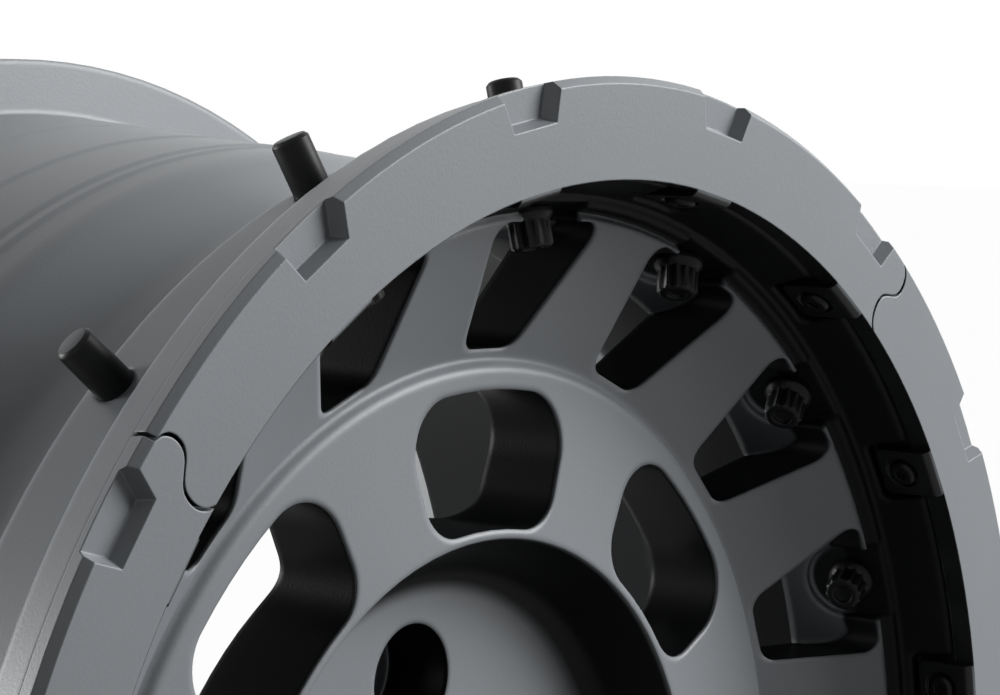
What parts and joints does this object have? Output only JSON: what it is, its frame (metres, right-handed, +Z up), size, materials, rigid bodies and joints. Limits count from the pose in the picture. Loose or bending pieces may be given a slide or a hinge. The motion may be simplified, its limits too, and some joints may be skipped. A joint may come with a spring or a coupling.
{
  "type": "car wheel",
  "caption": "Off-road alloy car wheel with a dished windowed disc, radial bead-lock bolts with pins in the bead seat, and a segmented rim guard ring with S-shaped joints",
  "frame": {"origin": "on the wheel axis, in the plane of the hub mounting face", "axes": "+Y along the wheel axis towards the vehicle, the street side faces -Y, +Z up"},
  "size_m": [0.4995, 0.2625, 0.4996],
  "materials": {
    "coated_alloy": "satin graphite powder coat on a cast alloy",
    "coated_ring": "satin graphite coat on milled alloy plate",
    "black_screws": "black oxide steel",
    "black_bolts": "black zinc flake steel"
  },
  "bodies": {
    "root": {"wheel_casting": "coated_alloy", "ring_segment_1": "coated_ring", "ring_segment_2": "coated_ring", "ring_segment_3": "coated_ring", "ring_segment_4": "coated_ring", "ring_screws": "black_screws", "lock_bolts": "black_bolts"}
  },
  "joints": []
}
